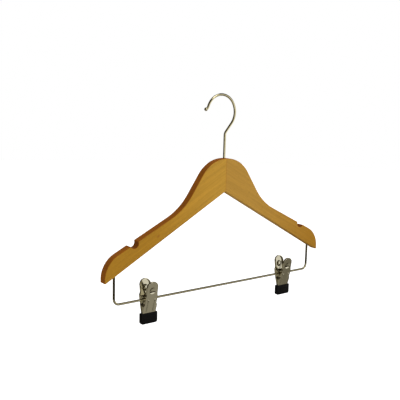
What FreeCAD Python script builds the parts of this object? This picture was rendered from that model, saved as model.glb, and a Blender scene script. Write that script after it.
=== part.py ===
import FreeCAD, Part

import math
import os

import Sketcher

# A wooden skirt hanger. Two shoulder halves are glued at a mitre, a wire hook turns in the head, and a
# bent wire bar under the shoulders carries two spring clips that slide, swing and open.
# The outlines are drawn from the crotch, the point where the two undersides meet: X runs along the
# bar, Y from the front to the back and Z up. Each piece is then placed from the rail seat, the point
# inside the top of the hook where the hanger hangs, which is the origin of the whole part.

SIZES = {
    # Shared fits: a turning fit, a side clearance between moving pieces, a glue line and a cut's overrun.
    "fit_gap": 0.06,
    "body_gap": 0.3,
    "glue_gap": 0.05,
    "overrun": 2.0,
    # Shoulder halves. The angles are measured down from the horizontal.
    "hanger_width": 380.8,
    "board_thickness": 12.0,
    "edge_radius": 1.2,
    "head_height": 46.4,
    "crown_flat": 1.2,
    "crown_radius": 47.0,
    "flank_angle": 56.2,
    "waist_radius": 86.0,
    "arm_height": 14.5,
    "arm_angle": 26.2,
    "under_angle": 29.1,
    "end_flat": 3.2,
    "toe_radius": 1.3,
    "left_notch_inset": 43.0,
    "right_notch_inset": 39.2,
    "notch_radius": 6.0,
    "lip_radius": 1.3,
    "tongue_length": 12.0,
    "tongue_wall": 1.2,
    # Hook, a round wire with a ball at its tip and an upset head at its foot.
    "hook_wire": 3.5,
    "hook_rise": 63.7,
    "loop_radius": 24.0,
    "loop_offset": 7.3,
    "neck_radius": 8.2,
    "neck_lean": 39.5,
    "loop_end_angle": 162.0,
    "flick_radius": 5.6,
    "flick_angle": 56.0,
    "ball_diameter": 5.0,
    "foot_diameter": 6.0,
    "foot_height": 1.6,
    "foot_rounding_share": 0.625,
    # Washer under the head, in a pocket bored up from the crotch.
    "washer_diameter": 8.0,
    "washer_thickness": 0.8,
    "pocket_play": 0.3,
    "pocket_depth": 5.0,
    # Bar, one round wire bent down at both ends.
    "bar_wire": 3.2,
    "bar_leg_inset": 16.4,
    "bar_drop": 136.4,
    "bar_bend_radius": 8.0,
    "bar_socket_depth": 14.0,
    # Clips: how far they stand from the bar's legs, and their pressed sheet levers.
    "left_clip_inset": 52.5,
    "right_clip_inset": 50.4,
    "clip_sheet": 0.9,
    "handle_rise": 25.7,
    "handle_width": 17.0,
    "handle_corner": 8.0,
    "handle_spread": 11.1,
    "pivot_spread": 6.9,
    "bend_radius": 4.0,
    "rim_depth": 2.0,
    "rim_end_gap": 1.5,
    "cheek_gap": 1.2,
    "rim_rounding_share": 0.8,
    "ear_span": 18.0,
    "ear_half": 5.5,
    "ear_flare": 3.0,
    "ear_radius": 3.8,
    "flare_radius": 3.0,
    "jaw_reach": 33.8,
    "jaw_width": 21.2,
    "dimple_drop": 12.5,
    "dimple_diameter": 9.4,
    "dimple_depth": 1.0,
    "bead_place": 5.0,
    "bead_width": 1.6,
    "bead_height": 0.6,
    "bead_top_drop": 0.4,
    "bead_end_gap": 1.2,
    "bead_head_radius": 1.35,
    "bead_head_rise": 0.95,
    # Soft caps on the jaws.
    "pad_side_wall": 2.1,
    "pad_height": 15.0,
    "pad_wall": 1.05,
    "pad_end_wall": 1.4,
    "pad_lip": 0.7,
    "pad_corner": 1.6,
    "pad_edge": 0.6,
    # Pivot sleeve, a hollow rivet round the bar.
    "sleeve_wall": 0.6,
    "flange_proud": 1.0,
    "flange_thickness": 0.6,
    # Torsion spring round the sleeve.
    "spring_wire": 1.1,
    "spring_turns": 4,
    "turn_gap": 0.5,
    "spring_play": 0.35,
    "leg_rise": 16.0,
}

# Lengths that several pieces share, worked out from the sheet.
HALF_WIDTH = "sizes.hanger_width / 2"
BAR_LEG = "(" + HALF_WIDTH + " - sizes.bar_leg_inset)"
SEAT_HEIGHT = "(sizes.head_height + sizes.hook_rise + sizes.loop_radius - sizes.hook_wire / 2)"
HOOK_BORE = "(sizes.hook_wire / 2 + sizes.fit_gap)"
SLEEVE_RADIUS = "(sizes.bar_wire / 2 + sizes.fit_gap + sizes.sleeve_wall)"
EAR_BORE = "(" + SLEEVE_RADIUS + " + sizes.fit_gap)"
FRONT_EAR = "(sizes.ear_span / 2 - sizes.clip_sheet)"
REAR_EAR = "(sizes.ear_span / 2 + sizes.body_gap)"
JAW_INSET = "(sizes.body_gap / 2 + sizes.pad_wall)"
JAW_BEND_DROP = "(sizes.jaw_reach - sizes.pad_height - sizes.pad_lip)"
LEVER_END = "(sizes.jaw_reach - sizes.pad_end_wall)"
JAW_CAVITY = "(sizes.jaw_width / 2 + sizes.glue_gap)"
PAD_HALF = "(" + JAW_CAVITY + " + sizes.pad_side_wall)"
HANDLE_SLOPE = "((sizes.handle_spread - sizes.pivot_spread) / sizes.handle_rise)"
CHEEK_SLOPE = "((sizes.pivot_spread - " + JAW_INSET + ") / " + JAW_BEND_DROP + ")"

# Edges are picked by their place, to within this share of the turning fit.
NEAR_SHARE = 0.01
NEAR = SIZES["fit_gap"] * NEAR_SHARE

doc = FreeCAD.newDocument("skirt_hanger")
sheet = doc.addObject("Spreadsheet::Sheet", "sizes")
for row, (alias, value) in enumerate(SIZES.items(), start=1):
    sheet.set(f"A{row}", alias)
    sheet.set(f"B{row}", str(value))
    sheet.setAlias(f"B{row}", alias)
reader = doc.addObject("App::FeaturePython", "reader")
doc.recompute()


def number(expression):
    """The value of an expression in the sheet's names."""
    return float(reader.evalExpression(expression))


def new_body(label):
    """An empty body with its own label."""
    body = doc.addObject("PartDesign::Body", label)
    body.Label = label
    return body


def plane_of(body, role):
    """One of a body's own origin planes."""
    return next(item for item in body.Origin.OriginFeatures if item.Role == role)


def sketch_on(body, role, name, shift=None):
    """A sketch on one of the body's own planes, moved along the plane's normal where shift is given."""
    sketch = body.newObject("Sketcher::SketchObject", name)
    sketch.AttachmentSupport = [(plane_of(body, role), "")]
    sketch.MapMode = "FlatFace"
    if shift:
        sketch.setExpression(".AttachmentOffset.Base.z", shift)
    return sketch


def fix(sketch, kind, *where, to):
    """Add one dimension to a sketch and tie it to the sheet."""
    value = number(to)
    unit = ""
    if kind == "Angle":
        value = math.radians(value)
        unit = " * 1 deg"
    index = sketch.addConstraint(Sketcher.Constraint(kind, *where, value))
    sketch.setExpression(f"Constraints[{index}]", "(" + to + ")" + unit)


def fix_point(sketch, geometry, position, across, up):
    """Hold a point of a sketch at a place given by two expressions."""
    for kind, axis, place in (("DistanceX", -2, across), ("DistanceY", -1, up)):
        if place == "0":
            sketch.addConstraint(Sketcher.Constraint("PointOnObject", geometry, position, axis))
        else:
            fix(sketch, kind, -1, 1, geometry, position, to=place)


def add_arc(sketch, centre, radius, start, end):
    """An arc drawn anticlockwise from one angle to another."""
    circle = Part.Circle(centre, FreeCAD.Vector(0, 0, 1), radius)
    return sketch.addGeometry(Part.ArcOfCircle(circle, start, end), False)


def add_circle(sketch, radius, across="0", up="0"):
    """A full circle held at its centre."""
    centre = FreeCAD.Vector(number(across), number(up), 0)
    circle = Part.Circle(centre, FreeCAD.Vector(0, 0, 1), number(radius))
    index = sketch.addGeometry(circle, False)
    fix_point(sketch, index, 3, across, up)
    fix(sketch, "Radius", index, to=radius)


def add_chain(sketch, corners, closed=True):
    """Straight runs through corners (across, up, radius or None), with a tangent arc at each radius."""
    count = len(corners)
    points = [FreeCAD.Vector(number(across), number(up), 0) for across, up, radius in corners]
    arrive = list(points)
    leave = list(points)
    bends = {}
    for i, (across, up, radius) in enumerate(corners):
        if radius is None:
            continue
        back = (points[i - 1] - points[i]).normalize()
        ahead = (points[(i + 1) % count] - points[i]).normalize()
        half = back.getAngle(ahead) / 2
        reach = number(radius) / math.tan(half)
        arrive[i] = points[i] + back * reach
        leave[i] = points[i] + ahead * reach
        centre = points[i] + (back + ahead).normalize() * (number(radius) / math.sin(half))
        bends[i] = (centre, back.cross(ahead).z < 0)
    runs = count if closed else count - 1
    lines = []
    for i in range(runs):
        line = Part.LineSegment(leave[i], arrive[(i + 1) % count])
        lines.append(sketch.addGeometry(line, False))
    for i, (across, up, radius) in enumerate(corners):
        inner_corner = closed or 0 < i < count - 1
        if i not in bends:
            if inner_corner:
                sketch.addConstraint(Sketcher.Constraint("Coincident", lines[i - 1], 2, lines[i], 1))
            if i < runs:
                fix_point(sketch, lines[i], 1, across, up)
            else:
                fix_point(sketch, lines[i - 1], 2, across, up)
            continue
        centre, leftward = bends[i]
        first, last = (arrive[i], leave[i]) if leftward else (leave[i], arrive[i])
        start = math.atan2(first.y - centre.y, first.x - centre.x)
        end = math.atan2(last.y - centre.y, last.x - centre.x)
        arc = add_arc(sketch, centre, number(radius), start, end)
        come, go = (1, 2) if leftward else (2, 1)
        sketch.addConstraint(Sketcher.Constraint("Tangent", lines[i - 1], 2, arc, come))
        sketch.addConstraint(Sketcher.Constraint("Tangent", arc, go, lines[i], 1))
        fix(sketch, "Radius", arc, to=radius)
        corner = sketch.addGeometry(Part.Point(points[i]), True)
        sketch.addConstraint(Sketcher.Constraint("PointOnObject", corner, 1, lines[i - 1]))
        sketch.addConstraint(Sketcher.Constraint("PointOnObject", corner, 1, lines[i]))
        fix_point(sketch, corner, 1, across, up)


def add_pad(body, sketch, name, length, both_ways=False):
    """Extrude a sketch, one way or evenly to both sides."""
    pad = body.newObject("PartDesign::Pad", name)
    pad.Profile = sketch
    pad.SideType = "Symmetric" if both_ways else "One side"
    pad.setExpression("Length", length)
    doc.recompute()
    return pad


def add_cut(body, sketch, name, both_ways=False, length=None):
    """Cut a sketch right through the body, or to a length, and see that something was cut."""
    before = body.Shape.Volume
    cut = body.newObject("PartDesign::Pocket", name)
    cut.Profile = sketch
    cut.SideType = "Symmetric" if both_ways else "One side"
    cut.Type = "Length" if length else "ThroughAll"
    if length:
        cut.setExpression("Length", length)
    doc.recompute()
    if not body.Shape.Volume < before:
        raise RuntimeError(f"{body.Label}: {name} cut nothing")
    return cut


def add_fillet(body, base, name, radius, chosen):
    """Round every edge of a feature that the chosen test picks."""
    edges = [f"Edge{i}" for i, edge in enumerate(base.Shape.Edges, start=1) if chosen(edge)]
    fillet = body.newObject("PartDesign::Fillet", name)
    fillet.Base = (base, edges)
    fillet.setExpression("Radius", radius)
    doc.recompute()
    return fillet


def add_pipe(body, path, profile, name):
    """Sweep a round section along a path of straight runs and tangent arcs."""
    pipe = body.newObject("PartDesign::AdditivePipe", name)
    pipe.Profile = profile
    pipe.Spine = (path, [])
    pipe.Transition = "Right corner"
    doc.recompute()
    return pipe


def place(piece, across="0", up="0", turned=False):
    """Stand a piece in the hanger, from the crotch, and turn it half round Z where asked."""
    half_turn = 180 if turned else 0
    piece.Placement.Rotation = FreeCAD.Rotation(FreeCAD.Vector(0, 0, 1), half_turn)
    piece.setExpression(".Placement.Base.x", "sizes.loop_offset + " + across)
    piece.setExpression(".Placement.Base.z", up + " - " + SEAT_HEIGHT)
    return piece


# Shoulder halves: boards with a round crown, a straight flank, a hollow waist, a sloping arm and a
# rounded tip. The left half carries a tongue that is glued into a slot in the right half.
TAN_FLANK = "tan(sizes.flank_angle)"
TAN_ARM = "tan(sizes.arm_angle)"
TAN_UNDER = "tan(sizes.under_angle)"
CROWN_CORNER = "(sizes.crown_flat + sizes.crown_radius * tan(sizes.flank_angle / 2))"
WAIST_CORNER = (
    "((sizes.head_height + " + TAN_FLANK + " * " + CROWN_CORNER + " - sizes.arm_height)"
    " / (" + TAN_FLANK + " - " + TAN_ARM + "))"
)
END_HEIGHT = "(sizes.arm_height + (" + TAN_UNDER + " - " + TAN_ARM + ") * " + HALF_WIDTH + ")"
TOE_RUN = "(sizes.toe_radius / tan(45 - sizes.under_angle / 2))"
TIP_RADIUS = "((" + END_HEIGHT + " - " + TOE_RUN + " - sizes.end_flat) / tan(45 - sizes.arm_angle / 2))"


def arm_line(across):
    """Height of the arm's top line at a place along the hanger."""
    return "(sizes.arm_height - " + TAN_ARM + " * " + across + ")"


def shoulder(label, notch_inset, with_tongue):
    """One half board, drawn outwards from the mitre along +X."""
    body = new_body(label)
    notch_place = "(" + HALF_WIDTH + " - " + notch_inset + ")"
    outline = sketch_on(body, "XZ_Plane", label + "_outline")
    add_chain(outline, [
        ("0", "0", None),
        (HALF_WIDTH, "-" + TAN_UNDER + " * " + HALF_WIDTH, "sizes.toe_radius"),
        (HALF_WIDTH, arm_line(HALF_WIDTH), TIP_RADIUS),
        (WAIST_CORNER, arm_line(WAIST_CORNER), "sizes.waist_radius"),
        (CROWN_CORNER, "sizes.head_height", "sizes.crown_radius"),
        ("0", "sizes.head_height", None),
    ])
    add_pad(body, outline, label + "_board", "sizes.board_thickness", both_ways=True)

    # The strap notch is a round cut in the arm's upper edge, with softened lips.
    notch = sketch_on(body, "XZ_Plane", label + "_notch")
    add_circle(notch, "sizes.notch_radius", notch_place, arm_line(notch_place))
    cut = add_cut(body, notch, label + "_notch_cut", both_ways=True)
    notch_centre = FreeCAD.Vector(number(notch_place), 0, number(arm_line(notch_place)))
    notch_radius = number("sizes.notch_radius")
    thickness = number("sizes.board_thickness")

    def on_a_lip(edge):
        middle = edge.CenterOfMass
        offset = math.hypot(middle.x - notch_centre.x, middle.z - notch_centre.z)
        straight_across = math.isclose(edge.Length, thickness, abs_tol=NEAR) and abs(middle.y) < NEAR
        return straight_across and math.isclose(offset, notch_radius, abs_tol=NEAR)

    lips = add_fillet(body, cut, label + "_lips", "sizes.lip_radius", on_a_lip)

    # Every edge of the two faces is rounded, apart from the mitre's own.
    def on_a_face(edge):
        box = edge.BoundBox
        flat = box.YLength < NEAR
        outer = math.isclose(abs(box.YMax), thickness / 2, abs_tol=NEAR)
        return flat and outer and box.XMax > NEAR

    add_fillet(body, lips, label + "_edges", "sizes.edge_radius", on_a_face)

    # The tongue is the middle layer of the board, carried on past the mitre inside the other half. It is
    # thick enough to leave a wall on each side of the hook's bore.
    tongue_thickness = "2 * (" + HOOK_BORE + " + sizes.tongue_wall)"
    joint = sketch_on(body, "XZ_Plane", label + "_joint")
    if with_tongue:
        tongue_outline(joint)
        add_pad(body, joint, label + "_tongue", tongue_thickness, both_ways=True)

    # Bores: the hook's way through the head, the washer's pocket and the socket for the bar's leg.
    bore = sketch_on(body, "XY_Plane", label + "_bore")
    add_circle(bore, HOOK_BORE)
    add_cut(body, bore, label + "_hook_bore", both_ways=True)
    pocket = sketch_on(body, "XY_Plane", label + "_pocket", "sizes.pocket_depth")
    add_circle(pocket, "sizes.washer_diameter / 2 + sizes.pocket_play")
    add_cut(body, pocket, label + "_washer_pocket")
    socket_top = "sizes.bar_socket_depth + sizes.glue_gap - " + TAN_UNDER + " * " + BAR_LEG
    socket = sketch_on(body, "XY_Plane", label + "_socket", socket_top)
    add_circle(socket, "sizes.bar_wire / 2 + sizes.glue_gap", BAR_LEG)
    add_cut(body, socket, label + "_bar_socket")

    # The slot for the tongue runs right through the head, from the crown to the underside.
    if not with_tongue:
        slot_end = "sizes.tongue_length + sizes.glue_gap"
        slot_top = "sizes.head_height + sizes.overrun"
        slot_bottom = "-" + TAN_UNDER + " * (" + slot_end + ") - sizes.overrun"
        add_chain(joint, [
            ("-sizes.overrun", slot_bottom, None),
            (slot_end, slot_bottom, None),
            (slot_end, slot_top, None),
            ("-sizes.overrun", slot_top, None),
        ])
        slot_width = tongue_thickness + " + 2 * sizes.glue_gap"
        add_cut(body, joint, label + "_slot", both_ways=True, length=slot_width)
    return body


def tongue_outline(sketch):
    """The tongue's outline: under the crown's flat and arc, then straight down to the underside."""
    head = number("sizes.head_height")
    flat = number("sizes.crown_flat")
    radius = number("sizes.crown_radius")
    length = number("sizes.tongue_length")
    swing = math.asin((length - flat) / radius)
    centre = FreeCAD.Vector(-flat, head - radius, 0)
    root = FreeCAD.Vector(0, 0, 0)
    peak = FreeCAD.Vector(0, head, 0)
    heel = FreeCAD.Vector(-length, -number(TAN_UNDER) * length, 0)
    arc = add_arc(sketch, centre, radius, math.pi / 2, math.pi / 2 + swing)
    mitre = sketch.addGeometry(Part.LineSegment(root, peak), False)
    crown = sketch.addGeometry(Part.LineSegment(peak, sketch.getPoint(arc, 1)), False)
    end = sketch.addGeometry(Part.LineSegment(sketch.getPoint(arc, 2), heel), False)
    under = sketch.addGeometry(Part.LineSegment(heel, root), False)
    for first, first_end, second, second_end in (
        (mitre, 2, crown, 1),
        (arc, 2, end, 1),
        (end, 2, under, 1),
        (under, 2, mitre, 1),
    ):
        sketch.addConstraint(Sketcher.Constraint("Coincident", first, first_end, second, second_end))
    sketch.addConstraint(Sketcher.Constraint("Tangent", crown, 2, arc, 1))
    sketch.addConstraint(Sketcher.Constraint("Vertical", end))
    fix_point(sketch, mitre, 1, "0", "0")
    fix_point(sketch, mitre, 2, "0", "sizes.head_height")
    fix_point(sketch, crown, 2, "-sizes.crown_flat", "sizes.head_height")
    fix(sketch, "Radius", arc, to="sizes.crown_radius")
    fix_point(sketch, end, 2, "-sizes.tongue_length", "-" + TAN_UNDER + " * sizes.tongue_length")


place(shoulder("left_shoulder", "sizes.left_notch_inset", with_tongue=True), turned=True)
place(shoulder("right_shoulder", "sizes.right_notch_inset", with_tongue=False))


# Hook: one wire, straight through the head, leaning right from the neck and round the rail in a loop. Its
# tip flicks outwards and ends in a ball, and its foot is upset into a head under the washer.
FOOT_TOP = "(sizes.pocket_depth - sizes.washer_thickness - sizes.body_gap)"
FOOT_BOTTOM = "(" + FOOT_TOP + " - sizes.foot_height)"
LOOP_HEIGHT = "(sizes.head_height + sizes.hook_rise)"


def hook():
    """The hook's wire, with its ball and its foot."""
    body = new_body("hook")
    loop = FreeCAD.Vector(number("-sizes.loop_offset"), number(LOOP_HEIGHT), 0)
    loop_radius = number("sizes.loop_radius")
    neck_radius = number("sizes.neck_radius")
    flick_radius = number("sizes.flick_radius")
    loop_end = math.radians(number("sizes.loop_end_angle"))
    flick_turn = math.radians(number("sizes.flick_angle"))
    lean = math.radians(number("sizes.neck_lean"))
    loop_start = loop + FreeCAD.Vector(math.cos(lean), -math.sin(lean), 0) * loop_radius
    neck_corner = loop_start.y - loop_start.x / math.tan(lean)
    neck = FreeCAD.Vector(neck_radius, neck_corner - neck_radius * math.tan(lean / 2), 0)
    flick = loop + FreeCAD.Vector(math.cos(loop_end), math.sin(loop_end), 0) * (loop_radius + flick_radius)
    flick_end = loop_end - math.pi

    path = sketch_on(body, "XZ_Plane", "hook_path")
    foot = FreeCAD.Vector(0, number(FOOT_BOTTOM), 0)
    stem = path.addGeometry(Part.LineSegment(foot, FreeCAD.Vector(0, neck.y, 0)), False)
    neck_arc = add_arc(path, neck, neck_radius, math.pi - lean, math.pi)
    run = path.addGeometry(Part.LineSegment(path.getPoint(neck_arc, 1), loop_start), False)
    loop_arc = add_arc(path, loop, loop_radius, -lean, loop_end)
    flick_arc = add_arc(path, flick, flick_radius, flick_end - flick_turn, flick_end)
    spoke = path.addGeometry(Part.LineSegment(loop, path.getPoint(loop_arc, 2)), True)
    for first, first_end, second, second_end in (
        (stem, 2, neck_arc, 2),
        (neck_arc, 1, run, 1),
        (run, 2, loop_arc, 1),
        (loop_arc, 2, flick_arc, 2),
    ):
        path.addConstraint(Sketcher.Constraint("Tangent", first, first_end, second, second_end))
    path.addConstraint(Sketcher.Constraint("Vertical", stem))
    fix_point(path, stem, 1, "0", FOOT_BOTTOM)
    fix_point(path, loop_arc, 3, "-sizes.loop_offset", LOOP_HEIGHT)
    fix(path, "Angle", run, to="90 - sizes.neck_lean")
    fix(path, "Radius", neck_arc, to="sizes.neck_radius")
    fix(path, "Radius", loop_arc, to="sizes.loop_radius")
    fix(path, "Radius", flick_arc, to="sizes.flick_radius")
    path.addConstraint(Sketcher.Constraint("Coincident", spoke, 1, loop_arc, 3))
    path.addConstraint(Sketcher.Constraint("Coincident", spoke, 2, loop_arc, 2))
    fix(path, "Angle", spoke, to="sizes.loop_end_angle")
    fix(path, "Angle", flick_arc, to="sizes.flick_angle")

    section = sketch_on(body, "XY_Plane", "hook_section", FOOT_BOTTOM)
    add_circle(section, "sizes.hook_wire / 2")
    add_pipe(body, path, section, "hook_wire")

    ball = body.newObject("PartDesign::AdditiveSphere", "hook_ball")
    ball.setExpression("Radius", "sizes.ball_diameter / 2")
    ball.AttachmentSupport = [(plane_of(body, "XY_Plane"), "")]
    ball.MapMode = "FlatFace"
    reach = "(sizes.loop_radius + sizes.flick_radius)"
    swing = "(sizes.loop_end_angle - sizes.flick_angle)"
    ball_x = f"-sizes.loop_offset + {reach} * cos(sizes.loop_end_angle) - sizes.flick_radius * cos({swing})"
    ball_z = f"{LOOP_HEIGHT} + {reach} * sin(sizes.loop_end_angle) - sizes.flick_radius * sin({swing})"
    ball.setExpression(".AttachmentOffset.Base.x", ball_x)
    ball.setExpression(".AttachmentOffset.Base.z", ball_z)
    doc.recompute()

    head = sketch_on(body, "XY_Plane", "hook_foot", FOOT_BOTTOM)
    add_circle(head, "sizes.foot_diameter / 2")
    foot_pad = add_pad(body, head, "hook_foot_head", "sizes.foot_height")
    foot_level = number(FOOT_BOTTOM)

    def under_the_foot(edge):
        box = edge.BoundBox
        return box.ZLength < NEAR and math.isclose(box.ZMin, foot_level, abs_tol=NEAR)

    rounding = "sizes.foot_height * sizes.foot_rounding_share"
    add_fillet(body, foot_pad, "hook_foot_rounding", rounding, under_the_foot)
    return body


place(hook())


def washer():
    """The flat washer that the hook's foot pulls against, at the top of its pocket."""
    body = new_body("hook_washer")
    ring = sketch_on(body, "XY_Plane", "washer_ring", "sizes.pocket_depth - sizes.washer_thickness")
    add_circle(ring, "sizes.washer_diameter / 2")
    add_circle(ring, HOOK_BORE)
    add_pad(body, ring, "washer_plate", "sizes.washer_thickness")
    return body


place(washer())


def clip_bar():
    """The bar: a straight wire whose ends turn up into the shoulders' sockets."""
    body = new_body("clip_bar")
    leg_top = "sizes.bar_socket_depth - " + TAN_UNDER + " * " + BAR_LEG
    path = sketch_on(body, "XZ_Plane", "bar_path")
    add_chain(path, [
        ("-" + BAR_LEG, leg_top, None),
        ("-" + BAR_LEG, "-sizes.bar_drop", "sizes.bar_bend_radius"),
        (BAR_LEG, "-sizes.bar_drop", "sizes.bar_bend_radius"),
        (BAR_LEG, leg_top, None),
    ], closed=False)
    section = sketch_on(body, "XY_Plane", "bar_section", leg_top)
    add_circle(section, "sizes.bar_wire / 2", "-" + BAR_LEG)
    add_pipe(body, path, section, "bar_wire")
    return body


place(clip_bar())


# Clips. Each piece is drawn from the bar's axis, with the jaws down and the rear lever on the +Y side.
# The front lever and its cap are the same drawings turned half round.
def lever(label, ear_inner):
    """A pressed lever: handle above the bar, jaw below it, edges turned in, and two ears on the sleeve."""
    body = new_body(label)
    ear_outer = "(" + ear_inner + " + sizes.clip_sheet)"
    widest = f"2 * max({ear_outer}; sizes.jaw_width / 2; sizes.handle_width / 2)"

    # The press turns in a rim along the handle, and below the ears the two levers' cheeks almost meet.
    rim_end = "(" + JAW_BEND_DROP + " - sizes.rim_end_gap)"
    rim = sketch_on(body, "YZ_Plane", label + "_rim_side")
    add_chain(rim, [
        ("sizes.handle_spread", "sizes.handle_rise", None),
        ("sizes.pivot_spread", "0", "sizes.bend_radius"),
        (f"sizes.pivot_spread - {CHEEK_SLOPE} * {rim_end}", "-" + rim_end, None),
        ("sizes.cheek_gap / 2", "-" + rim_end, None),
        ("sizes.cheek_gap / 2", "-sizes.ear_radius", None),
        ("sizes.pivot_spread - sizes.rim_depth", "0", None),
        ("sizes.handle_spread - sizes.rim_depth", "sizes.handle_rise", None),
    ])
    add_pad(body, rim, label + "_rim", widest, both_ways=True)
    hollow = sketch_on(body, "XZ_Plane", label + "_hollow")
    add_chain(hollow, lever_outline(ear_outer, " - sizes.clip_sheet"))
    add_cut(body, hollow, label + "_hollow_cut", both_ways=True)

    # The sheet itself, bent at the bar and again above the jaw.
    sheet_thickness = " + sizes.clip_sheet"
    inner = [
        ("sizes.handle_spread", "sizes.handle_rise", None),
        ("sizes.pivot_spread", "0", "sizes.bend_radius"),
        (JAW_INSET, "-" + JAW_BEND_DROP, "sizes.bend_radius"),
        (JAW_INSET, "-" + LEVER_END, None),
    ]
    outer = [(across + sheet_thickness, up, radius) for across, up, radius in reversed(inner)]
    side = sketch_on(body, "YZ_Plane", label + "_side")
    add_chain(side, inner + outer)
    add_pad(body, side, label + "_strip", widest, both_ways=True)

    # The strip is trimmed to a tongue-shaped handle that widens at the ears and the jaw.
    trim = sketch_on(body, "XZ_Plane", label + "_trim")
    add_chain(trim, lever_outline(ear_outer, ""))
    frame_side = f"({widest} / 2 + sizes.overrun)"
    frame_top = "sizes.handle_rise + sizes.overrun"
    frame_bottom = "-" + LEVER_END + " - sizes.overrun"
    add_chain(trim, [
        (frame_side, frame_bottom, None),
        (frame_side, frame_top, None),
        ("-" + frame_side, frame_top, None),
        ("-" + frame_side, frame_bottom, None),
    ])
    tongue = add_cut(body, trim, label + "_tongue", both_ways=True)
    rounding = "sizes.clip_sheet * sizes.rim_rounding_share"
    add_fillet(body, tongue, label + "_rounding", rounding, outer_side_test())

    # The ears follow the inner face of the sheet and close in on the sleeve.
    ear = sketch_on(body, "YZ_Plane", label + "_ear", ear_inner)
    upper = f"sizes.pivot_spread + sizes.ear_half * {HANDLE_SLOPE}"
    lower = f"sizes.pivot_spread - sizes.ear_half * {CHEEK_SLOPE}"
    ear_loop(ear, upper, "sizes.pivot_spread", lower)
    ear_pad = add_pad(body, ear, label + "_ear_pad", "sizes.clip_sheet")
    ears = body.newObject("PartDesign::Mirrored", label + "_ears")
    ears.Originals = [ear_pad]
    ears.MirrorPlane = (plane_of(body, "YZ_Plane"), [""])
    body.Tip = ears
    doc.recompute()
    bore = sketch_on(body, "YZ_Plane", label + "_bore")
    add_circle(bore, EAR_BORE)
    add_cut(body, bore, label + "_sleeve_bore", both_ways=True)

    press_marks(body, label)
    return body


def lever_outline(ear_outer, inset):
    """The outline of a lever seen from the front, drawn in by an inset."""
    half = [
        ("sizes.jaw_width / 2" + inset, "-" + LEVER_END, None),
        ("sizes.jaw_width / 2" + inset, "-sizes.ear_half - sizes.ear_flare", "sizes.flare_radius"),
        (ear_outer + inset, "-sizes.ear_half", "sizes.flare_radius"),
        (ear_outer + inset, "sizes.ear_half", "sizes.flare_radius"),
        ("sizes.handle_width / 2" + inset, "sizes.ear_half + sizes.ear_flare", "sizes.flare_radius"),
        ("sizes.handle_width / 2" + inset, "sizes.handle_rise" + inset, "sizes.handle_corner" + inset),
    ]
    mirrored = [(f"-({across})", up, radius) for across, up, radius in reversed(half)]
    return half + mirrored


def outer_side_test():
    """A test that picks a lever's edges where the sheet's outer face ends at a side or at the top."""
    sheet_thickness = number("sizes.clip_sheet")
    top = number("sizes.handle_rise")
    bend = number("sizes.pivot_spread")
    jaw = number(JAW_INSET)
    handle_slope = number(HANDLE_SLOPE)
    cheek_slope = number(CHEEK_SLOPE)
    near_face_share = 0.3

    def on_the_outer_face(point):
        slope = handle_slope if point.z > 0 else cheek_slope
        outer_face = max(bend + point.z * slope, jaw) + sheet_thickness
        return math.isclose(point.y, outer_face, abs_tol=sheet_thickness * near_face_share)

    def on_the_outer_side(edge):
        box = edge.BoundBox
        level = box.ZLength < NEAR
        if level and not math.isclose(box.ZMax, top, abs_tol=NEAR):
            return False
        points = [vertex.Point for vertex in edge.Vertexes] + [edge.CenterOfMass]
        return all(on_the_outer_face(point) for point in points)

    return on_the_outer_side


def ear_loop(sketch, upper, middle, lower):
    """An ear's outline: down the sheet, then by two tangents round the sleeve."""
    rise = number("sizes.ear_half")
    radius = number("sizes.ear_radius")
    top = FreeCAD.Vector(number(upper), rise, 0)
    bend = FreeCAD.Vector(number(middle), 0, 0)
    bottom = FreeCAD.Vector(number(lower), -rise, 0)
    top_angle = math.atan2(top.y, top.x) + math.acos(radius / top.Length)
    bottom_angle = math.atan2(bottom.y, bottom.x) - math.acos(radius / bottom.Length)
    arc = add_arc(sketch, FreeCAD.Vector(0, 0, 0), radius, top_angle, bottom_angle + 2 * math.pi)
    first = sketch.addGeometry(Part.LineSegment(sketch.getPoint(arc, 2), bottom), False)
    second = sketch.addGeometry(Part.LineSegment(bottom, bend), False)
    third = sketch.addGeometry(Part.LineSegment(bend, top), False)
    fourth = sketch.addGeometry(Part.LineSegment(top, sketch.getPoint(arc, 1)), False)
    sketch.addConstraint(Sketcher.Constraint("Tangent", arc, 2, first, 1))
    sketch.addConstraint(Sketcher.Constraint("Coincident", first, 2, second, 1))
    sketch.addConstraint(Sketcher.Constraint("Coincident", second, 2, third, 1))
    sketch.addConstraint(Sketcher.Constraint("Coincident", third, 2, fourth, 1))
    sketch.addConstraint(Sketcher.Constraint("Tangent", fourth, 2, arc, 1))
    fix_point(sketch, arc, 3, "0", "0")
    fix(sketch, "Radius", arc, to="sizes.ear_radius")
    fix_point(sketch, second, 1, lower, "-sizes.ear_half")
    fix_point(sketch, third, 1, middle, "0")
    fix_point(sketch, fourth, 1, upper, "sizes.ear_half")


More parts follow.
